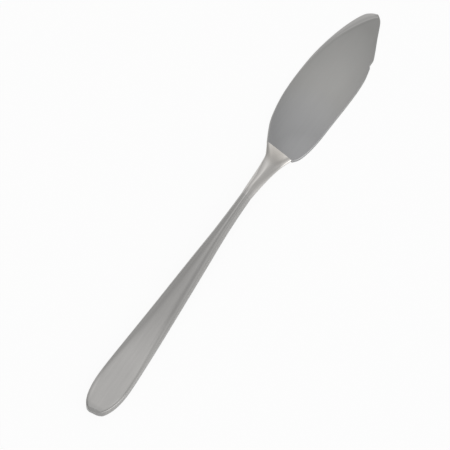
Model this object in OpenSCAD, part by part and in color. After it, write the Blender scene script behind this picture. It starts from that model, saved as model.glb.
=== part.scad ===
// Table fish knife with a hollow handle: a forged blade with its tang, a flared
// bolster, two pressed handle shells and the cement that fills them.
// +X runs from butt to tip, +Y towards the cutting edge, and it lies flat on z = 0.

/* [Knife] */
// Length of the handle, from its butt to the bolster
handle_len = 108.5; // [100:0.5:118]
// Length of the bolster along the centre line, from the handle to the blade
bolster_len = 25.1; // [22:0.5:30]
// Length of the blade along the centre line, from the bolster to the tip
blade_len = 71.4; // [64:0.5:80]
// Height of the waist's underside above the table
arch_rise = 2.3; // [1:0.1:3.5]
// Length over which the handle rises from the table to the waist
arch_len = 80; // [50:1:90]

/* [Handle] */
// Width of the grip at its widest
grip_w = 14; // [12:0.1:17]
// Thickness of the grip
grip_t = 4; // [3.5:0.1:5.5]
// Length over which the butt rounds off in plan
butt_len = 17; // [12:0.5:22]
// Width of the flat end of the butt
butt_flat_w = 3.6; // [2.5:0.1:6]
// Thickness of the flat end of the butt
butt_t = 1.8; // [1.6:0.1:3.4]
// Length of the chamfers above and below the flat end of the butt
butt_chamfer_len = 1; // [0.6:0.1:4]
// Rake of the butt, in degrees, longer on the edge side
butt_rake = 5; // [0:0.5:8]
// Width of the waist, where handle and bolster meet
waist_w = 4.3; // [3.9:0.1:6]
// Thickness of the waist
waist_t = 4.8; // [4:0.1:6]
// Wall of the pressed shells
shell_wall = 0.6; // [0.4:0.05:0.7]
// Solder film in the seam between the shells
seam_gap = 0.04; // [0.02:0.01:0.1]

/* [Bolster] */
// Reach of the bolster's front end from the centre line, on the edge side
bolster_edge_reach = 6.8; // [5:0.1:7.5]
// Reach of the bolster's front end from the centre line, on the back side
bolster_back_reach = 5.7; // [4:0.1:6.5]
// Thickness of the bolster's front end
bolster_front_t = 2.4; // [2:0.1:3]
// Rake of the joint between bolster and blade, in degrees
heel_rake = 7.5; // [0:0.5:12]
// Length over which the rake fades away to either side of the joint
rake_len = 12; // [8:0.5:18]
// Clearance all round the tang in the bolster's slot
slot_gap = 0.05; // [0.03:0.01:0.1]

/* [Blade] */
// Reach of the cutting edge from the centre line
edge_reach = 13.3; // [11:0.1:15]
// Reach of the back from the centre line
back_reach = 11; // [9:0.1:13]
// Thickness of the blade at the bolster
blade_t = 1.4; // [1.2:0.1:1.8]
// Thickness of the blade at the tip
blade_tip_t = 0.9; // [0.8:0.05:1.2]
// Thickness left at the ground edge
edge_t = 0.5; // [0.3:0.05:0.8]
// Width of the ground edge beside the bolster
grind_heel_w = 0.6; // [0.4:0.1:1.2]
// Width of the ground edge at the tip
grind_tip_w = 4.2; // [2:0.1:5]
// Chamfer along the back
back_chamfer = 0.2; // [0.1:0.05:0.4]
// Distance of the notch in the back from the tip
notch_from_tip = 20.6; // [16:0.2:26]
// Depth of the notch
notch_depth = 0.5; // [0.3:0.1:1]
// Length of the notch's steep side, towards the handle
notch_rise_len = 0.8; // [0.5:0.1:2]
// Length of the notch's shallow side, towards the tip
notch_run_len = 3; // [2:0.1:5]
// Length of the rounded nose at the tip
nose_len = 2.6; // [2:0.1:5]
// Width of the flat left at the end of the nose
nose_flat_w = 0.5; // [0.3:0.1:1]
// Distance of the tip from the centre line, towards the edge
tip_y = 0.7; // [-1:0.1:2]

/* [Tang] */
// Length of the tang behind the blade
tang_len = 60; // [45:1:80]
// Width of the tang at the blade
tang_root_w = 4; // [3:0.1:5]
// Thickness of the tang at the blade
tang_root_t = 0.9; // [0.7:0.1:1]
// Height of the tang's middle at the blade
tang_root_z = 0.8; // [0.7:0.05:0.85]
// Width of the tang at the waist
tang_w = 2.2; // [1.6:0.1:2.4]
// Thickness of the tang at the waist
tang_t = 1.8; // [1.2:0.1:2.2]
// Width and thickness of the tang's end
tang_end_t = 1.2; // [0.8:0.1:1.5]
// Chamfer along the tang's corners
tang_chamfer = 0.2; // [0.1:0.05:0.3]
// Shrinkage gap between the cement and the steel round it
cement_gap = 0.05; // [0.03:0.01:0.1]

/* [Hidden] */

// Places along the knife, measured from the butt
waist_x = handle_len;
heel_x = handle_len + bolster_len;
tip_x = heel_x + blade_len;
tang_end_x = heel_x - tang_len;
notch_x = tip_x - notch_from_tip;
nose_x = tip_x - nose_len;
// The knife is centred over the origin
centre = [-tip_x / 2, (back_reach - edge_reach) / 2, 0];

// Narrowing of the handle: place along it, and share of the grip's extra width
taper_shares = [[0, 1], [0.15, 1], [0.3, 0.86], [0.5, 0.6], [0.7, 0.315], [0.83, 0.115],
    [0.92, 0.035], [1, 0]];
// Flare of the bolster on either side: place along it, and share of the whole flare
edge_flare_shares = [[0, 0], [0.15, 0.06], [0.3, 0.12], [0.54, 0.225], [0.68, 0.31],
    [0.82, 0.44], [0.9, 0.67], [1, 1]];
back_flare_shares = [[0, 0], [0.15, 0.08], [0.3, 0.15], [0.5, 0.26], [0.66, 0.4],
    [0.74, 0.49], [0.82, 0.61], [0.9, 0.77], [1, 1]];
// Thinning of the bolster towards the blade
neck_thinning_shares = [[0, 0], [0.06, 0.01], [0.2, 0.1], [0.5, 0.48], [0.8, 0.84], [1, 1]];
// Outline of the blade on either side: place along it, and share of the reach
edge_shares = [[0, 0.52], [0.05, 0.655], [0.12, 0.8], [0.2, 0.905], [0.3, 0.98], [0.4, 1],
    [0.5, 0.985], [0.6, 0.945], [0.7, 0.857], [0.8, 0.73], [0.88, 0.59], [0.94, 0.45],
    [1, 0.25]];
back_shares = [[0, 0.54], [0.03, 0.69], [0.08, 0.81], [0.15, 0.89], [0.3, 0.944], [0.45, 0.99],
    [0.55, 1], [0.63, 0.965], [0.7, 0.87], [0.75, 0.81], [0.8, 0.68], [0.88, 0.445],
    [0.94, 0.28], [1, 0.1]];
// Growth of the ground edge along the blade, as a share of heel to tip
grind_shares = [[0, 0], [0.55, 0], [0.72, 0.2], [0.85, 0.55], [0.93, 0.8], [1, 1]];
// Thinning of the blade from heel to tip
thinning_shares = [[0, 0], [0.3, 0.1], [0.7, 0.55], [1, 1]];
// Squareness of a section along handle and bolster: 2 is an ellipse, and less has a ridge on top
grip_squareness = [[0, 12], [0.15, 10], [0.25, 6], [0.4, 3.4], [0.6, 2.6], [1, 2]];
bolster_edge_squareness = [[0, 2], [0.15, 1.8], [0.7, 1.8], [0.82, 2.6], [0.9, 4.5], [1, 9]];
bolster_back_squareness = [[0, 2], [0.15, 1.8], [0.7, 1.8], [0.85, 2.3], [1, 3]];
// Squareness of the curves that round the butt and the nose off in plan
butt_squareness = 2.5;
nose_squareness = 2;
// Least part of the blade's width that the flat field takes, and a chamfer
field_share = 0.15;
chamfer_share = 0.05;

// Steps along the pieces, and points over half a section
butt_steps = 12;
grip_steps = 20;
bolster_steps = 18;
heel_steps = 34;
notch_steps = 3;
point_steps = 10;
nose_steps = 8;
tang_steps = 16;
half_points = 12;
// Overrun of a cut past the face that it opens
overrun = 1;

// Smooth curve through the points of a table, read at u
function span(table, u, i = 0) =
    i >= len(table) - 2 || u < table[i + 1][0] ? i : span(table, u, i + 1);
function chord(table, i) =
    (table[i + 1][1] - table[i][1]) / (table[i + 1][0] - table[i][0]);
function slope(table, i) =
    i == 0 ? chord(table, 0)
    : i == len(table) - 1 ? chord(table, i - 1)
    : (chord(table, i - 1) + chord(table, i)) / 2;
function curve(table, u) =
    let (i = span(table, u),
         gap = table[i + 1][0] - table[i][0],
         t = (u - table[i][0]) / gap)
    ease(table[i][1], table[i + 1][1], t)
    + gap * t * (1 - t) * (slope(table, i) * (1 - t) - slope(table, i + 1) * t);

// Value that goes gently from a to b while u goes from 0 to 1
function ease(a, b, u) =
    let (t = max(0, min(1, u)))
    a + (b - a) * t * t * (3 - 2 * t);
// Share of the full width at u, from the end of a rounded end to where it is full
function rounding(u, squareness) =
    pow(1 - pow(1 - max(0, min(1, u)), squareness), 1 / squareness);
// Place u at which a rounded end has reached a share of its full width
function rounding_at(share, squareness) =
    1 - pow(1 - pow(share, squareness), 1 / squareness);
// Rounded end that begins with a flat
function flat_rounding(u, flat, squareness) =
    let (skip = rounding_at(flat, squareness))
    rounding(skip + (1 - skip) * u, squareness);
// Places from one to another, in steps, without the last
function places(from, to, steps) = [for (i = [0 : steps - 1]) from + (to - from) * i / steps];
function reversed(list) = [for (i = [len(list) - 1 : -1 : 0]) list[i]];

// Place x moved along the knife at y, for the rake of the butt and of the heel
function raked(x, y) =
    x - y * tan(butt_rake) * ease(1, 0, x / butt_len)
    + y * tan(heel_rake) * ease(1, 0, abs(x - heel_x) / rake_len);

// Height of the knife's underside
function underside(x) =
    ease(arch_rise, 0, x < waist_x ? (waist_x - x) / arch_len : (x - waist_x) / bolster_len);
// Half the thickness without the butt's chamfers, and the height of the middle
function half_t(x) =
    (x < waist_x
        ? ease(waist_t, grip_t, (waist_x - x) / arch_len)
        : waist_t + (bolster_front_t - waist_t) * curve(neck_thinning_shares, along_bolster(x))) / 2;
function middle_z(x) = underside(x) + half_t(x);

// Handle: half width, half thickness and squareness
function handle_half_w(x) =
    (waist_w + (grip_w - waist_w) * curve(taper_shares, x / handle_len)) / 2
    * flat_rounding(x / butt_len, butt_flat_w / grip_w, butt_squareness);
function handle_half_t(x) =
    butt_t / 2 + (half_t(x) - butt_t / 2) * min(1, x / butt_chamfer_len);
function handle_squareness(x) = curve(grip_squareness, x / handle_len);
// Stations along the handle, with one where the chamfers end, closer together at the butt
round_stations = [for (i = [0 : butt_steps - 1]) butt_len * (1 - cos(90 * i / butt_steps))];
handle_stations = concat(
    [for (x = round_stations) if (x < butt_chamfer_len) x],
    [butt_chamfer_len],
    [for (x = round_stations) if (x > butt_chamfer_len) x],
    places(butt_len, handle_len, grip_steps),
    [handle_len]);
// Place of a station in the hollow, whose end lies one wall in from the butt
function inner_x(x, wall) = wall + x * (handle_len - wall) / handle_len;

// Point of a section at angle a, from half width w and half thickness t
function section_point(w, t, squareness, a) =
    [w * sign(cos(a)) * pow(abs(cos(a)), 2 / squareness),
     t * sign(sin(a)) * pow(abs(sin(a)), 2 / squareness)];
// Section of the handle inset by a wall, from angle a to angle b, raised by lift
function handle_section(x, wall, a, b, lift) =
    let (w = handle_half_w(x) - wall,
         t = handle_half_t(x) - wall - abs(lift))
    [for (i = [0 : half_points])
        let (p = section_point(w, t, handle_squareness(x), a + (b - a) * i / half_points))
        [raked(x, p[0]), p[0], middle_z(x) + p[1] + lift]];

// Solid through rings of points that run anticlockwise seen from the tip
function side_faces(rings, n) =
    [for (i = [0 : rings - 2]) for (j = [0 : n - 1])
        let (k = (j + 1) % n)
        [i * n + j, (i + 1) * n + j, (i + 1) * n + k, i * n + k]];
module skin(rings) {
    n = len(rings[0]);
    last = (len(rings) - 1) * n;
    polyhedron(
        points = [for (ring = rings) each ring],
        faces = concat(
            side_faces(len(rings), n),
            [[for (j = [0 : n - 1]) j]],
            [[for (j = [n - 1 : -1 : 0]) last + j]]),
        convexity = 6);
}

// One pressed half of the handle, side 1 for the upper and -1 for the lower
module handle_shell(side) {
    a = side > 0 ? 0 : 180;
    lift = side * seam_gap / 2;
    rings = [for (x = handle_stations)
        concat(handle_section(x, 0, a, a + 180, lift),
            reversed(handle_section(inner_x(x, shell_wall), shell_wall, a, a + 180, lift)))];
    m = half_points;
    n = len(rings[0]);
    last = (len(rings) - 1) * n;
    polyhedron(
        points = [for (ring = rings) each ring],
        faces = concat(
            side_faces(len(rings), n),
            [[for (j = [0 : m]) j]],
            [[for (j = [m + 1 : n - 1]) j]],
            [[0, m, m + 1, n - 1]],
            [for (j = [0 : m - 1])
                [last + j, last + n - 1 - j, last + n - 2 - j, last + j + 1]]),
        convexity = 6);
}

// Bolster: reach on either side, and its section
function along_bolster(x) = (x - waist_x) / bolster_len;
function flare(reach, shares, x) =
    waist_w / 2 + (reach - waist_w / 2) * curve(shares, along_bolster(x));
function bolster_section(x) =
    let (e = flare(bolster_edge_reach, edge_flare_shares, x),
         b = flare(bolster_back_reach, back_flare_shares, x),
         edge_n = curve(bolster_edge_squareness, along_bolster(x)),
         back_n = curve(bolster_back_squareness, along_bolster(x)))
    [for (i = [0 : 2 * half_points - 1])
        let (a = 180 * i / half_points,
             p = cos(a) > 0
                 ? section_point(e, half_t(x), edge_n, a)
                 : section_point(b, half_t(x), back_n, a))
        [raked(x, p[0]), p[0], middle_z(x) + p[1]]];

// Tang: half width and half thickness, thinning from the blade to the waist and on
function before_heel(x) = (heel_x - x) / bolster_len;
function before_waist(x) = (waist_x - x) / (waist_x - tang_end_x);
function tang_thinning(root, waist, x) =
    ease(ease(root, waist, before_heel(x)), tang_end_t, before_waist(x)) / 2;
function tang_z(x) =
    middle_z(x) - ease(middle_z(heel_x) - tang_root_z, 0, before_heel(x));
// Section of the tang with chamfered corners, grown all round
function tang_section(x, grow) =
    let (w = tang_thinning(tang_root_w, tang_w, x) + grow,
         t = tang_thinning(tang_root_t, tang_t, x) + grow,
         c = tang_chamfer)
    [for (p = [[w, t - c], [w - c, t], [c - w, t], [-w, t - c],
               [-w, c - t], [c - w, -t], [w - c, -t], [w, c - t]])
        [raked(x, p[0]), p[0], tang_z(x) + p[1]]];
module tang_space(from, to, grow) {
    skin([for (x = concat(places(from, to, tang_steps), [to])) tang_section(x, grow)]);
}

// Blade: its two sides, the notch and the width of the ground edge
function along_blade(x) = (x - heel_x) / blade_len;
function nose(x, width) =
    flat_rounding((tip_x - x) / nose_len, nose_flat_w / width, nose_squareness);
function outline_y(reach, shares, x) = reach * curve(shares, along_blade(x));
nose_w = outline_y(edge_reach, edge_shares, tip_x) + outline_y(back_reach, back_shares, tip_x);
function edge_y(x) =
    tip_y + (outline_y(edge_reach, edge_shares, x) - tip_y) * nose(x, nose_w);
function notch(x) =
    notch_depth * max(0, 1 - max((notch_x - x) / notch_rise_len, (x - notch_x) / notch_run_len));
function back_y(x) =
    tip_y - (outline_y(back_reach, back_shares, x) + tip_y) * nose(x, nose_w) + notch(x);
function grind_w(x) =
    grind_heel_w + (grind_tip_w - grind_heel_w) * curve(grind_shares, along_blade(x));
function field_z(x) = blade_t + (blade_tip_t - blade_t) * curve(thinning_shares, along_blade(x));
// Section of the blade over the edge, the field and the back, with spare underneath
function blade_section(x) =
    let (e = edge_y(x),
         b = back_y(x),
         g = min(grind_w(x), (e - b) * (1 - field_share)),
         c = min(back_chamfer, (e - b) * chamfer_share),
         z = field_z(x))
    [for (p = [[e, edge_t], [e - g, z], [b + c, z], [b, z - c],
               [b, -overrun], [b + c, -2 * overrun], [e - g, -2 * overrun], [e, -overrun]])
        [raked(x, p[0]), p[0], p[1]]];
blade_stations = concat(
    places(heel_x, notch_x - notch_rise_len, heel_steps),
    [notch_x - notch_rise_len],
    places(notch_x, notch_x + notch_run_len, notch_steps),
    places(notch_x + notch_run_len, nose_x, point_steps),
    [for (i = [0 : nose_steps]) nose_x + nose_len * sin(90 * i / nose_steps)]);

module blade() {
    color([0.62, 0.62, 0.61])
    difference() {
        skin(concat(
            [for (x = concat(places(tang_end_x, heel_x, tang_steps), [heel_x]))
                tang_section(x, 0)],
            [for (x = blade_stations) blade_section(x)]));
        translate([0, -back_reach - overrun, -3 * overrun])
            cube([tip_x + overrun, edge_reach + back_reach + 2 * overrun, 3 * overrun]);
    }
}

module bolster() {
    color([0.75, 0.73, 0.7])
    difference() {
        skin([for (x = concat(places(waist_x, heel_x, bolster_steps), [heel_x]))
            bolster_section(x)]);
        tang_space(waist_x - overrun, heel_x + overrun, slot_gap);
    }
}

module upper_handle_shell() {
    color([0.7, 0.69, 0.67])
    handle_shell(1);
}

module lower_handle_shell() {
    color([0.68, 0.67, 0.65])
    handle_shell(-1);
}

module handle_filling() {
    inset = shell_wall + cement_gap;
    color([0.8, 0.77, 0.7])
    difference() {
        skin([for (x = handle_stations)
            let (p = inner_x(x, inset),
                 upper = handle_section(p, inset, 0, 180, 0),
                 lower = handle_section(p, inset, 180, 360, 0))
            concat(upper, [for (i = [1 : half_points - 1]) lower[i]])]);
        tang_space(tang_end_x - cement_gap, waist_x + overrun, cement_gap);
    }
}

translate(centre) blade();
translate(centre) bolster();
translate(centre) upper_handle_shell();
translate(centre) lower_handle_shell();
translate(centre) handle_filling();
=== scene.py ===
import math

import bmesh
import bpy
from mathutils import Matrix, Vector


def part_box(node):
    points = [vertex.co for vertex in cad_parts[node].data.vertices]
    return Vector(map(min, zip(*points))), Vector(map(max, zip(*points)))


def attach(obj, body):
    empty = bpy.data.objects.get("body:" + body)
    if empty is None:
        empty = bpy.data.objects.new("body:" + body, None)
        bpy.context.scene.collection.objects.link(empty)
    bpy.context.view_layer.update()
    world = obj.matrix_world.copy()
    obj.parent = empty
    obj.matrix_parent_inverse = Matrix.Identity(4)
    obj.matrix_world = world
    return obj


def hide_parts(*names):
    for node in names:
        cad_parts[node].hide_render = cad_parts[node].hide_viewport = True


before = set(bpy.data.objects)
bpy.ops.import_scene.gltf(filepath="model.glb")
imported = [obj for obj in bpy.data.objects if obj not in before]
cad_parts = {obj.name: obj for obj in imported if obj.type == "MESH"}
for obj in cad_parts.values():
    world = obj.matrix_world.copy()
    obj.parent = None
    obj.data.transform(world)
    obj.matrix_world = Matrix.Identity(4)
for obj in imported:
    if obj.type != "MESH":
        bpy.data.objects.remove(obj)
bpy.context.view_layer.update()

MM = 0.001

# Lengths along the knife in millimetres, from the butt
HANDLE_LEN = 108.5
BOLSTER_LEN = 25.1
BLADE_LEN = 71.4
HEEL = HANDLE_LEN + BOLSTER_LEN
TIP = HEEL + BLADE_LEN
ARCH_RISE = 2.3
ARCH_LEN = 80

# Handle
GRIP_W = 14
GRIP_T = 4
BUTT_LEN = 17
BUTT_FLAT_W = 3.6
BUTT_T = 1.8
BUTT_CHAMFER_LEN = 1
BUTT_RAKE = math.radians(5)
WAIST_W = 4.3
WAIST_T = 4.8
SHELL_WALL = 0.6
SEAM_GAP = 0.04

# Bolster
BOLSTER_EDGE_REACH = 6.8
BOLSTER_BACK_REACH = 5.7
BOLSTER_FRONT_T = 2.4
HEEL_RAKE = math.radians(7.5)
RAKE_LEN = 12
SLOT_GAP = 0.05

# Blade
EDGE_REACH = 13.3
BACK_REACH = 11
BLADE_T = 1.4
BLADE_TIP_T = 0.9
EDGE_T = 0.5
GRIND_HEEL_W = 0.6
GRIND_TIP_W = 4.2
BACK_CHAMFER = 0.2
NOTCH = TIP - 20.6
NOTCH_DEPTH = 0.5
NOTCH_RISE_LEN = 0.8
NOTCH_RUN_LEN = 3
NOSE_LEN = 2.6
NOSE_FLAT_W = 0.5
TIP_Y = 0.7
# Least share of the blade's width that the flat field takes, and most that the chamfer takes
FIELD_SHARE = 0.15
CHAMFER_SHARE = 0.05

# Tang
TANG_LEN = 60
TANG_ROOT_W = 4
TANG_ROOT_T = 0.9
TANG_ROOT_Z = 0.8
TANG_W = 2.2
TANG_T = 1.8
TANG_END_T = 1.2
TANG_SQUARENESS = 5

# Shares along a stretch, and what they give there
TAPER = [(0, 1), (0.15, 1), (0.3, 0.86), (0.5, 0.6), (0.7, 0.315), (0.83, 0.115), (0.92, 0.035),
         (1, 0)]
EDGE_FLARE = [(0, 0), (0.15, 0.06), (0.3, 0.12), (0.54, 0.225), (0.68, 0.31), (0.82, 0.44),
              (0.9, 0.67), (1, 1)]
BACK_FLARE = [(0, 0), (0.15, 0.08), (0.3, 0.15), (0.5, 0.26), (0.66, 0.4), (0.74, 0.49),
              (0.82, 0.61), (0.9, 0.77), (1, 1)]
NECK_THINNING_SHARES = [(0, 0), (0.06, 0.01), (0.2, 0.1), (0.5, 0.48), (0.8, 0.84), (1, 1)]
EDGE_SHARES = [(0, 0.52), (0.05, 0.655), (0.12, 0.8), (0.2, 0.905), (0.3, 0.98), (0.4, 1),
               (0.5, 0.985), (0.6, 0.945), (0.7, 0.857), (0.8, 0.73), (0.88, 0.59), (0.94, 0.45),
               (1, 0.25)]
BACK_SHARES = [(0, 0.54), (0.03, 0.69), (0.08, 0.81), (0.15, 0.89), (0.3, 0.944), (0.45, 0.99),
               (0.55, 1), (0.63, 0.965), (0.7, 0.87), (0.75, 0.81), (0.8, 0.68), (0.88, 0.445),
               (0.94, 0.28), (1, 0.1)]
GRIND_SHARES = [(0, 0), (0.55, 0), (0.72, 0.2), (0.85, 0.55), (0.93, 0.8), (1, 1)]
THINNING_SHARES = [(0, 0), (0.3, 0.1), (0.7, 0.55), (1, 1)]
# Squareness of a section along a stretch: 2 is an ellipse, and less has a ridge on top
GRIP_SQUARENESS = [(0, 12), (0.15, 10), (0.25, 6), (0.4, 3.4), (0.6, 2.6), (1, 2)]
BOLSTER_EDGE_SQUARENESS = [(0, 2), (0.15, 1.8), (0.7, 1.8), (0.82, 2.6), (0.9, 4.5), (1, 9)]
BOLSTER_BACK_SQUARENESS = [(0, 2), (0.15, 1.8), (0.7, 1.8), (0.85, 2.3), (1, 3)]
# Squareness of the curves that round the butt and the nose off in plan
BUTT_SQUARENESS = 2.5
NOSE_SQUARENESS = 2

# How much brighter the blade is beside the cutting edge, partly for the band's finer polish and
# partly as painted highlight and shade lines along the band's border: at shares of the ground
# band's width, and at distances in millimetres from its border into the field
BAND_SHINE = [(0, 0.22), (0.35, 0.2), (0.5, 0.1), (0.65, 0), (0.8, 0.03), (1, 0.12)]
FIELD_SHINE = [(0.2, 0.06), (0.5, -0.03), (0.9, -0.06), (1.4, 0)]
# Most of the field's width that the second table takes
FIELD_SHINE_SHARE = 0.5
# The shine, partly polish and partly painted light, comes in between these places along the knife
SHINE_START = 158
SHINE_FULL = 186

# Where the knife's own butt and centre line lie in the row frame
butt_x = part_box("blade")[1].x / MM - TIP
handle_low, handle_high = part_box("upper_handle_shell")
centre_y = (handle_low.y + handle_high.y) / 2 / MM


def row_point(x, y, z):
    """Point of the row frame, in metres, from millimetres along, across and up the knife."""
    return Vector(((butt_x + x) * MM, (centre_y + y) * MM, z * MM))


def ease(a, b, u):
    """Value that goes gently from a to b while u goes from 0 to 1."""
    t = max(0, min(1, u))
    return a + (b - a) * t * t * (3 - 2 * t)


def chord(table, i):
    return (table[i + 1][1] - table[i][1]) / (table[i + 1][0] - table[i][0])


def slope(table, i):
    if i == 0:
        return chord(table, 0)
    if i == len(table) - 1:
        return chord(table, i - 1)
    return (chord(table, i - 1) + chord(table, i)) / 2


def curve(table, u):
    """Smooth curve through the points of a table, read at u."""
    i = 0
    while i < len(table) - 2 and u >= table[i + 1][0]:
        i += 1
    gap = table[i + 1][0] - table[i][0]
    t = (u - table[i][0]) / gap
    bend = slope(table, i) * (1 - t) - slope(table, i + 1) * t
    return ease(table[i][1], table[i + 1][1], t) + gap * t * (1 - t) * bend


def rounding(u, squareness):
    """Share of the full width at u, from the end of a rounded end to where it is full."""
    return (1 - (1 - max(0, min(1, u))) ** squareness) ** (1 / squareness)


def flat_rounding(u, flat, squareness):
    """Rounded end that begins with a flat."""
    skip = 1 - (1 - flat ** squareness) ** (1 / squareness)
    return rounding(skip + (1 - skip) * u, squareness)


def raked(x, y):
    """Place x moved along the knife at y, for the rake of the butt and of the heel."""
    butt = y * math.tan(BUTT_RAKE) * ease(1, 0, x / BUTT_LEN)
    heel = y * math.tan(HEEL_RAKE) * ease(1, 0, abs(x - HEEL) / RAKE_LEN)
    return x - butt + heel


def underside(x):
    """Height of the knife's underside above the table."""
    run = (HANDLE_LEN - x) / ARCH_LEN if x < HANDLE_LEN else (x - HANDLE_LEN) / BOLSTER_LEN
    return ease(ARCH_RISE, 0, run)


def half_t(x):
    """Half the thickness of handle and bolster, without the butt's chamfers."""
    if x < HANDLE_LEN:
        return ease(WAIST_T, GRIP_T, (HANDLE_LEN - x) / ARCH_LEN) / 2
    thinned = curve(NECK_THINNING_SHARES, (x - HANDLE_LEN) / BOLSTER_LEN)
    return (WAIST_T + (BOLSTER_FRONT_T - WAIST_T) * thinned) / 2


def middle_z(x):
    return underside(x) + half_t(x)


def section_point(half_w, half_h, squareness, angle):
    """Point of a squared oval, from its half width and half height."""
    c, s = math.cos(angle), math.sin(angle)
    return (half_w * math.copysign(abs(c) ** (2 / squareness), c),
            half_h * math.copysign(abs(s) ** (2 / squareness), s))


def places(start, end, steps):
    """Places from one to another, in steps, without the last."""
    return [start + (end - start) * i / steps for i in range(steps)]


# Steps along the pieces, and points round a section
FLAT_STEPS = 4
BUTT_STEPS = 28
GRIP_STEPS = 70
BOLSTER_STEPS = 60
HEEL_STEPS = 70
NOTCH_RISE_STEPS = 2
NOTCH_STEPS = 8
POINT_STEPS = 24
NOSE_STEPS = 16
TANG_STEPS = 30
ROUND_POINTS = 64
# The flat end of the butt takes the places from -1 to 0, from its middle to its rim
handle_places = places(-1, 0, FLAT_STEPS) + [BUTT_CHAMFER_LEN]
handle_places += [BUTT_LEN * (1 - math.cos(math.pi / 2 * i / BUTT_STEPS)) for i in range(BUTT_STEPS)]
handle_places += places(BUTT_LEN, HANDLE_LEN, GRIP_STEPS) + [HANDLE_LEN]
handle_places.sort()
bolster_places = places(HANDLE_LEN, HEEL, BOLSTER_STEPS) + [HEEL]
blade_places = places(HEEL, NOTCH - NOTCH_RISE_LEN, HEEL_STEPS)
blade_places += places(NOTCH - NOTCH_RISE_LEN, NOTCH, NOTCH_RISE_STEPS)
blade_places += places(NOTCH, NOTCH + NOTCH_RUN_LEN, NOTCH_STEPS)
blade_places += places(NOTCH + NOTCH_RUN_LEN, TIP - NOSE_LEN, POINT_STEPS)
blade_places += [TIP - NOSE_LEN + NOSE_LEN * math.sin(math.pi / 2 * i / NOSE_STEPS)
                 for i in range(NOSE_STEPS + 1)]
tang_places = places(HEEL - TANG_LEN, HEEL, TANG_STEPS) + [HEEL]
# Vertices closer than this are merged
MERGE_GAP = 0.0005 * MM
# Degrees between two faces past which the edge between them stays sharp
ROUND_SHARP_ANGLE = 35
BLADE_SHARP_ANGLE = 10
# A face of the blade that leans at least this much up and towards the edge is ground
GROUND_TILT = 0.08


def handle_point(place, angle, lift):
    """Point of the handle's outer skin, lifted off the seam."""
    x, full = max(0, place), min(1, 1 + place)
    half_w = (WAIST_W + (GRIP_W - WAIST_W) * curve(TAPER, x / HANDLE_LEN)) / 2
    half_w *= flat_rounding(x / BUTT_LEN, BUTT_FLAT_W / GRIP_W, BUTT_SQUARENESS)
    half_h = BUTT_T / 2 + (half_t(x) - BUTT_T / 2) * min(1, x / BUTT_CHAMFER_LEN)
    squareness = curve(GRIP_SQUARENESS, x / HANDLE_LEN)
    y, z = section_point(half_w * full, (half_h - abs(lift)) * full, squareness, angle)
    return row_point(raked(x, y), y, middle_z(x) + z + lift)


def bolster_point(x, angle):
    u = (x - HANDLE_LEN) / BOLSTER_LEN
    towards_edge = math.cos(angle) > 0
    reach = BOLSTER_EDGE_REACH if towards_edge else BOLSTER_BACK_REACH
    flare = curve(EDGE_FLARE if towards_edge else BACK_FLARE, u)
    half_w = WAIST_W / 2 + (reach - WAIST_W / 2) * flare
    squareness = curve(BOLSTER_EDGE_SQUARENESS if towards_edge else BOLSTER_BACK_SQUARENESS, u)
    y, z = section_point(half_w, half_t(x), squareness, angle)
    return row_point(raked(x, y), y, middle_z(x) + z)


def tang_point(x, angle, grow):
    """Point of the tang grown all round, or of the slot that it passes through."""
    behind_heel = (HEEL - x) / BOLSTER_LEN
    behind_waist = (HANDLE_LEN - x) / (HANDLE_LEN - HEEL + TANG_LEN)
    half_w = ease(ease(TANG_ROOT_W, TANG_W, behind_heel), TANG_END_T, behind_waist) / 2
    half_h = ease(ease(TANG_ROOT_T, TANG_T, behind_heel), TANG_END_T, behind_waist) / 2
    y, z = section_point(half_w + grow, half_h + grow, TANG_SQUARENESS, angle)
    sink = ease(middle_z(HEEL) - TANG_ROOT_Z, 0, behind_heel)
    return row_point(raked(x, y), y, middle_z(x) - sink + z)


def nose(x):
    """Share of the blade's reach that the rounded nose leaves at the tip."""
    width = EDGE_REACH * EDGE_SHARES[-1][1] + BACK_REACH * BACK_SHARES[-1][1]
    return flat_rounding((TIP - x) / NOSE_LEN, NOSE_FLAT_W / width, NOSE_SQUARENESS)


def blade_section(x):
    """Corners of the blade's section, from the foot of the edge over the top to the foot of the back.
    Each has its place across, its height and its extra brightness."""
    u = (x - HEEL) / BLADE_LEN
    edge = TIP_Y + (EDGE_REACH * curve(EDGE_SHARES, u) - TIP_Y) * nose(x)
    notch = max(0, 1 - max((NOTCH - x) / NOTCH_RISE_LEN, (x - NOTCH) / NOTCH_RUN_LEN))
    back = TIP_Y - (BACK_REACH * curve(BACK_SHARES, u) + TIP_Y) * nose(x) + NOTCH_DEPTH * notch
    grind = GRIND_HEEL_W + (GRIND_TIP_W - GRIND_HEEL_W) * curve(GRIND_SHARES, u)
    grind = min(grind, (edge - back) * (1 - FIELD_SHARE))
    chamfer = min(BACK_CHAMFER, (edge - back) * CHAMFER_SHARE)
    top = BLADE_T + (BLADE_TIP_T - BLADE_T) * curve(THINNING_SHARES, u)
    border = edge - grind
    squeeze = min(1, (border - back - chamfer) * FIELD_SHINE_SHARE / FIELD_SHINE[-1][0])
    band = [(edge - grind * share, EDGE_T + (top - EDGE_T) * share, shine)
            for share, shine in BAND_SHINE]
    field = [(border - distance * squeeze, top, shine) for distance, shine in FIELD_SHINE]
    return [(edge, 0, 0), *band, *field, (back + chamfer, top, 0), (back, top - chamfer, 0),
            (back, 0, 0)]


def blade_point(x, corner):
    y, z, _ = blade_section(x)[corner]
    return row_point(raked(x, y), y, z)


def blade_shine(x, corner):
    """Extra brightness at a corner of the blade's section, partly polish and partly painted
    highlight and shade, which comes in towards the tip.
    """
    come_in = ease(0, 1, (x - SHINE_START) / (SHINE_FULL - SHINE_START))
    return blade_section(x)[corner][2] * come_in


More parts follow.
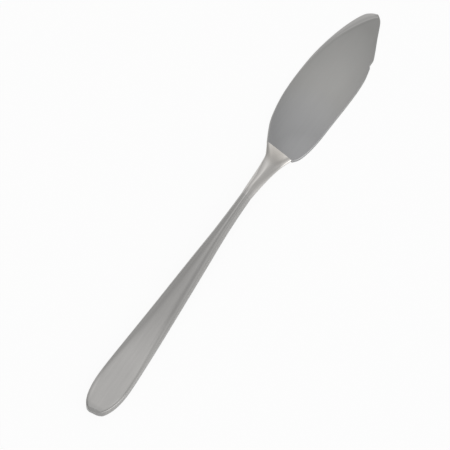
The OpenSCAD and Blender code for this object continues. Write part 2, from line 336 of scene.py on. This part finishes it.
def skin(bm, stations, points, closed, place, shine=None):
    """Adds a grid whose vertices go where place(x, i) puts point i of the section at x, with the
    extra brightness that shine(x, i) gives them."""
    rows, columns = len(stations) - 1, points if closed else points - 1
    made = bmesh.ops.create_grid(bm, x_segments=rows, y_segments=columns, size=1)["verts"]
    for v in made:
        row = round((v.co.x + 1) / 2 * rows)
        column = round((v.co.y + 1) / 2 * columns) % points
        v.co = place(stations[row], column)
        if shine:
            v[bm.verts.layers.float["shine"]] = shine(stations[row], column)
    faces = list({face for v in made for face in v.link_faces})
    bmesh.ops.reverse_faces(bm, faces=faces)
    bmesh.ops.remove_doubles(bm, verts=made, dist=MERGE_GAP)


def rims(bm, behind):
    """Open edges behind or in front of the middle of the bolster."""
    middle = (butt_x + (HANDLE_LEN + HEEL) / 2) * MM
    return [e for e in bm.edges if e.is_boundary and (e.verts[0].co.x < middle) == behind]


def is_end(edge):
    """Whether an edge lies at the blade's tip or at the tang's end, away from the shoulder."""
    return abs(edge.verts[0].co.x / MM - butt_x - HEEL) > RAKE_LEN


def finished_piece(name, bm, sharp_angle, material, node):
    """Object from a bmesh, riding on the body and standing for its node."""
    for face in bm.faces:
        face.smooth = True
    bm.edges.index_update()
    rim = [edge.index for edge in bm.edges if edge.is_boundary]
    mesh = bpy.data.meshes.new(name)
    bm.to_mesh(mesh)
    bm.free()
    mesh.set_sharp_from_angle(angle=math.radians(sharp_angle))
    for i in rim:
        mesh.edges[i].use_edge_sharp = True
    mesh.materials.append(material)
    piece = bpy.data.objects.new(name, mesh)
    bpy.context.scene.collection.objects.link(piece)
    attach(piece, "root")
    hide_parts(node)
    return piece


def make_shell(name, node, side, material):
    """One pressed half of the handle: side 1 is the upper half and -1 the lower."""
    bm = bmesh.new()
    start = 0 if side > 0 else math.pi
    step = math.pi / (ROUND_POINTS // 2)
    skin(bm, handle_places, ROUND_POINTS // 2 + 1, False,
         lambda x, i: handle_point(x, start + i * step, side * SEAM_GAP / 2))
    piece = finished_piece(name, bm, ROUND_SHARP_ANGLE, material, node)
    wall = piece.modifiers.new("wall", "SOLIDIFY")
    wall.thickness = SHELL_WALL * MM
    wall.offset = -1
    wall.use_even_offset = True
    return piece


def make_bolster(material):
    """Flared neck with the slot that the tang passes through."""
    bm = bmesh.new()
    step = 2 * math.pi / ROUND_POINTS
    skin(bm, bolster_places, ROUND_POINTS, True, lambda x, i: bolster_point(x, i * step))
    skin(bm, bolster_places, ROUND_POINTS, True, lambda x, i: tang_point(x, i * step, SLOT_GAP))
    for behind in (True, False):
        bmesh.ops.triangle_fill(bm, use_beauty=True, edges=rims(bm, behind))
    bmesh.ops.recalc_face_normals(bm, faces=bm.faces)
    piece = finished_piece("bolster_neck", bm, ROUND_SHARP_ANGLE, material, "bolster")
    return piece


def make_blade(material, ground_material):
    """Blade with its tang: the shoulder is the flat between their outlines."""
    bm = bmesh.new()
    bm.verts.layers.float.new("shine")
    step = 2 * math.pi / ROUND_POINTS
    skin(bm, blade_places, len(blade_section(HEEL)), True, blade_point, blade_shine)
    skin(bm, tang_places, ROUND_POINTS, True, lambda x, i: tang_point(x, i * step, 0))
    bmesh.ops.holes_fill(bm, edges=[e for e in bm.edges if e.is_boundary and is_end(e)])
    bmesh.ops.triangle_fill(bm, use_beauty=True, edges=[e for e in bm.edges if e.is_boundary])
    bmesh.ops.recalc_face_normals(bm, faces=bm.faces)
    for face in bm.faces:
        if face.normal.y > GROUND_TILT and face.normal.z > GROUND_TILT:
            face.material_index = 1
    piece = finished_piece("knife_blade", bm, BLADE_SHARP_ANGLE, material, "blade")
    piece.data.materials.append(ground_material)
    return piece


class Wire:
    """An output socket. Sums with it add the Math nodes that work them out."""

    def __init__(self, nodes, socket):
        self.nodes, self.socket = nodes, socket

    def worked(self, operation, a, b):
        return self.nodes.add("ShaderNodeMath", {"operation": operation}, {0: a, 1: b})

    def __add__(self, other):
        return self.worked("ADD", self, other)

    def __radd__(self, other):
        return self.worked("ADD", other, self)

    def __sub__(self, other):
        return self.worked("SUBTRACT", self, other)

    def __rsub__(self, other):
        return self.worked("SUBTRACT", other, self)

    def __mul__(self, other):
        return self.worked("MULTIPLY", self, other)

    def __rmul__(self, other):
        return self.worked("MULTIPLY", other, self)

    def __pow__(self, other):
        return self.worked("POWER", self, other)

    def above(self, least):
        return self.worked("MAXIMUM", self, least)


class Nodes:
    """Node tree of a material or of the world."""

    def __init__(self, owner):
        owner.use_nodes = True
        self.tree = owner.node_tree
        self.tree.nodes.clear()

    def add(self, kind, settings=None, values=None, out=0):
        """New node of a type, with its settings first and then its sockets' values or wires."""
        node = self.tree.nodes.new(kind)
        for name, value in (settings or {}).items():
            setattr(node, name, value)
        for name, value in (values or {}).items():
            if isinstance(value, Wire):
                self.tree.links.new(value.socket, node.inputs[name])
            else:
                node.inputs[name].default_value = value
        return Wire(self, node.outputs[out]) if node.outputs else node

    def grain(self, spot, scale):
        """Noise around zero, stretched along the knife by a scale for each axis."""
        stretched = self.add("ShaderNodeMapping", None, {"Vector": spot, "Scale": scale})
        noise = self.add("ShaderNodeTexNoise", None, {"Vector": stretched, "Scale": 1, "Detail": 2})
        return noise - 0.5

    def times(self, tint, factor):
        """Colour multiplied by another colour or by a number."""
        return self.add("ShaderNodeMix", {"data_type": "RGBA", "blend_type": "MULTIPLY"},
                        {"Factor": 1, "A": tint, "B": factor}, out="Result")


# Noise scales, in repeats per metre along, across and up the knife
BRUSH_LINES = (90, 7000, 7000)
BUFF_STREAKS = (25, 800, 800)
CLOUDS = (70, 110, 110)
SAND = 2500
# How far the steel's colour swings to either side, and how much the clouds swing it
COLOUR_SWING = 0.08
CLOUD_TONE = 0.25
# How much lines and clouds change the roughness, and the lines' relief
LINE_ROUGHNESS = 0.06
CLOUD_ROUGHNESS = 0.04
LINE_BUMP = 0.04
LINE_DEPTH = 0.02 * MM
# Darkest of the cement's colour, its roughness and its relief
SAND_DARK = 0.8
CEMENT_ROUGHNESS = 0.9
SAND_BUMP = 0.4
SAND_DEPTH = 0.1 * MM


def steel(name, colour, roughness, brush, streak, *patches):
    """Brushed steel with buffing streaks, shown as strongly as brush and streak say, and with
    patches of another tone, most of them painted highlights and painted shade. Each patch says
    where its middle is, its turn in degrees, how far it reaches along, across and up the knife, how
    late it fades, and how bright its middle is in red, green and blue against the colour."""
    material = bpy.data.materials.new(name)
    nodes = Nodes(material)
    spot = nodes.add("ShaderNodeTexCoord", out="Object")
    lines = nodes.grain(spot, BRUSH_LINES)
    streaks = nodes.grain(spot, BUFF_STREAKS)
    clouds = nodes.grain(spot, CLOUDS)
    dark = 0.5 + lines * brush + streaks * streak + clouds * CLOUD_TONE
    tint = nodes.add("ShaderNodeMix", {"data_type": "RGBA"},
                     {"Factor": dark, "A": (*[c * (1 + COLOUR_SWING) for c in colour], 1),
                      "B": (*[c * (1 - COLOUR_SWING) for c in colour], 1)}, out="Result")
    # Each patch multiplies the colour: most paint a highlight or shade into it, and some change its
    # tone or hue
    for centre, tilt, reaches, lateness, share in patches:
        spread = nodes.add("ShaderNodeMapping", {"vector_type": "TEXTURE"},
                           {"Vector": spot, "Location": row_point(*centre),
                            "Rotation": (0, 0, math.radians(tilt)),
                            "Scale": [reach * MM for reach in reaches]})
        away = nodes.add("ShaderNodeVectorMath", {"operation": "LENGTH"}, {0: spread}, out="Value")
        faded = nodes.add("ShaderNodeMix", {"data_type": "RGBA"},
                          {"Factor": away ** lateness, "A": (*share, 1), "B": (1, 1, 1, 1)},
                          out="Result")
        tint = nodes.times(tint, faded)
    # Only the blade's vertices carry a shine, partly polish and partly painted light: elsewhere it
    # reads 0
    shine = nodes.add("ShaderNodeAttribute", {"attribute_name": "shine"}, out="Fac")
    tint = nodes.times(tint, 1 + shine)
    bump = nodes.add("ShaderNodeBump", None,
                     {"Strength": LINE_BUMP, "Distance": LINE_DEPTH, "Height": lines})
    shader = nodes.add("ShaderNodeBsdfPrincipled", None, {
        "Base Color": tint, "Metallic": 1,
        "Roughness": roughness + lines * LINE_ROUGHNESS + clouds * CLOUD_ROUGHNESS,
        "Normal": bump})
    nodes.add("ShaderNodeOutputMaterial", None, {"Surface": shader})
    return material


def hard_cement(name, colour):
    """Cement with a sandy grain."""
    material = bpy.data.materials.new(name)
    nodes = Nodes(material)
    spot = nodes.add("ShaderNodeTexCoord", out="Object")
    grain = nodes.add("ShaderNodeTexNoise", None, {"Vector": spot, "Scale": SAND, "Detail": 4})
    tint = nodes.add("ShaderNodeMix", {"data_type": "RGBA"},
                     {"Factor": grain, "A": (*[c * SAND_DARK for c in colour], 1),
                      "B": (*colour, 1)}, out="Result")
    bump = nodes.add("ShaderNodeBump", None,
                     {"Strength": SAND_BUMP, "Distance": SAND_DEPTH, "Height": grain})
    shader = nodes.add("ShaderNodeBsdfPrincipled", None,
                       {"Base Color": tint, "Roughness": CEMENT_ROUGHNESS, "Normal": bump})
    nodes.add("ShaderNodeOutputMaterial", None, {"Surface": shader})
    return material


# Reach of a patch that doesn't fade with the height
DEEP = 1000
# Painted highlights in the blade's middle and beside the back at the heel, and a cooler hue
# at the heel
blade_middle_highlight = ((HEEL + 31.4, -1, BLADE_T), 8, (33, 17, DEEP), 2, (1.33, 1.33, 1.33))
blade_heel_highlight = ((HEEL + 0.4, -8, BLADE_T), 0, (13, 12, DEEP), 1.5, (1.2, 1.2, 1.2))
blade_cool_end = ((HEEL + 2.4, 0, BLADE_T), 0, (30, 24, DEEP), 3, (0.99, 1, 1.035))
# Painted shade towards the bolster's front and a painted highlight at the flare on the back, and
# the bolster darkens towards the waist
bolster_front_shade = ((HEEL + 0.4, 0.5, BOLSTER_FRONT_T), 7.5, (8, 6, DEEP), 3, (0.84, 0.825, 0.8))
bolster_flare_highlight = ((HEEL - 0.6, -6, BOLSTER_FRONT_T), 0, (7, 3.8, DEEP), 2, (1.32, 1.32, 1.32))
bolster_waist = ((HANDLE_LEN - 0.5, 0, WAIST_T), 0, (4.5, 6, DEEP), 1.5, (0.8, 0.805, 0.815))
# Painted shade on the end of the butt and painted highlights along the rims, and the handle is
# brighter at the waist
handle_waist = ((HANDLE_LEN, 0, WAIST_T), 0, (7, 7, DEEP), 1, (1.06, 1.06, 1.06))
butt_facet_shade = ((0, 0, BUTT_T), 0, (3, 12, DEEP), 3, (0.88, 0.885, 0.89))
butt_edge_rim_highlight = ((8, 6, GRIP_T), 8, (13, 1.7, DEEP), 2, (1.24, 1.24, 1.24))
butt_back_rim_highlight = ((11, -6.7, GRIP_T), 0, (13, 1.1, 1.1), 2, (1.09, 1.09, 1.09))
butt_back_inset_highlight = ((8.5, -5.85, GRIP_T), -14, (6.5, 0.8, 0.4), 2, (1.2, 1.2, 1.2))
grip_back_rim_highlight = ((33.5, -5.15, GRIP_T), 5.6, (20, 1.3, 1.6), 2, (1.24, 1.24, 1.24))

blade_steel = steel("satin_blade_steel", (0.372, 0.369, 0.36), 0.4, 0.5, 0.2,
                    blade_middle_highlight, blade_heel_highlight, blade_cool_end)
# The ground band's steel is brighter than the blade's, partly for its finer grind and partly as a
# painted sheen
ground_steel = steel("ground_edge_steel", (0.469, 0.463, 0.454), 0.38, 0.4, 0.2)
bolster_steel = steel("polished_bolster_steel", (0.675, 0.656, 0.634), 0.1, 0.3, 0.3,
                      bolster_front_shade, bolster_flare_highlight, bolster_waist)
handle_steel = steel("satin_handle_steel", (0.488, 0.48, 0.468), 0.21, 0.4, 0.6,
                     handle_waist, butt_facet_shade, butt_edge_rim_highlight, butt_back_rim_highlight, butt_back_inset_highlight,
                     grip_back_rim_highlight)
cement = hard_cement("handle_cement", (0.62, 0.58, 0.5))

make_shell("upper_handle_half", "upper_handle_shell", 1, handle_steel)
make_shell("lower_handle_half", "lower_handle_shell", -1, handle_steel)
make_bolster(bolster_steel)
make_blade(blade_steel, ground_steel)
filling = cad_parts["handle_filling"]
filling.data.materials.clear()
filling.data.materials.append(cement)

# Camera, from the photograph
KNIFE_TURN = math.radians(56.99)
CAMERA_ELEVATION = math.radians(65)
CAMERA_DISTANCE = 5
CAMERA_LENS = 1024.6
CAMERA_AIM = Vector((-6.5, 0.2, 0)) * MM
camera_right = Vector((math.cos(KNIFE_TURN), -math.sin(KNIFE_TURN), 0))
camera_depth = Vector((math.sin(KNIFE_TURN), math.cos(KNIFE_TURN), 0))
back = Vector((0, 0, math.sin(CAMERA_ELEVATION))) - camera_depth * math.cos(CAMERA_ELEVATION)
turn = Matrix((camera_right, back.cross(camera_right), back)).transposed().to_4x4()
camera_data = bpy.data.cameras.new("camera")
camera_data.lens = CAMERA_LENS
camera_data.clip_end = 4 * CAMERA_DISTANCE
camera = bpy.data.objects.new("camera", camera_data)
camera.matrix_world = Matrix.Translation(CAMERA_AIM + back * CAMERA_DISTANCE) @ turn
bpy.context.scene.collection.objects.link(camera)
bpy.context.scene.camera = camera

# Floor, a hair under the knife so that no two faces coincide
FLOOR_HALF = 30
FLOOR_GAP = 0.05 * MM
PAPER_COLOUR = (0.95, 0.95, 0.95, 1)
# Share of plain white in the paper, to the camera and in what the steel mirrors
SEEN_WHITE = 0.92
MIRRORED_WHITE = 0.2
bm = bmesh.new()
bmesh.ops.create_grid(bm, x_segments=1, y_segments=1, size=FLOOR_HALF,
                      matrix=Matrix.Translation((0, 0, -FLOOR_GAP)))
floor_mesh = bpy.data.meshes.new("floor")
bm.to_mesh(floor_mesh)
bm.free()
floor = bpy.data.objects.new("floor", floor_mesh)
bpy.context.scene.collection.objects.link(floor)
paper = bpy.data.materials.new("white_paper")
paper_nodes = Nodes(paper)
lit_paper = paper_nodes.add("ShaderNodeBsdfDiffuse", None, {"Color": PAPER_COLOUR})
plain_white = paper_nodes.add("ShaderNodeEmission", None, {"Color": (1, 1, 1, 1), "Strength": 1})
seen = paper_nodes.add("ShaderNodeLightPath", out="Is Camera Ray")
mirrored = paper_nodes.add("ShaderNodeLightPath", out="Is Glossy Ray")
both = paper_nodes.add("ShaderNodeMixShader", None, {
    0: seen * SEEN_WHITE + mirrored * MIRRORED_WHITE, 1: lit_paper, 2: plain_white})
paper_nodes.add("ShaderNodeOutputMaterial", None, {"Surface": both})
floor_mesh.materials.append(paper)

# Even studio light with soft bright patches: for each its bearing from +X and its height in
# degrees, how narrow it is, and its strength
STUDIO_LEVEL = 0.29
SOFT_LIGHTS = {
    "far window": (22, 64, 60, 0.65),
    "right window": (-40, 55, 20, 0.24),
    "far wall": (0, 5, 12, 1.2),
    "right wall": (-60, 5, 4, 0.35),
    "right lamp": (-95, 16, 25, 1.6),
    "left wall": (42, 28, 4, 0.42),
    "neck strip": (34, 30, 60, 0.16),
    "flare lamp": (-74, 51, 60, 0.22),
    "camera side": (-147, 40, 4, 1.2)}
world = bpy.data.worlds.new("studio")
bpy.context.scene.world = world
sky = Nodes(world)
direction = sky.add("ShaderNodeTexCoord", out="Generated")
light = STUDIO_LEVEL
for bearing, height, narrowness, strength in SOFT_LIGHTS.values():
    turned, raised = math.radians(bearing), math.radians(height)
    centre = (math.cos(raised) * math.cos(turned), math.cos(raised) * math.sin(turned),
              math.sin(raised))
    facing = sky.add("ShaderNodeVectorMath", {"operation": "DOT_PRODUCT"},
                     {0: direction, 1: centre}, out="Value")
    light = light + facing.above(0) ** narrowness * strength
background = sky.add("ShaderNodeBackground", None, {"Color": (1, 1, 1, 1), "Strength": light})
sky.add("ShaderNodeOutputWorld", None, {"Surface": background})

bpy.context.scene.view_settings.view_transform = "Standard"
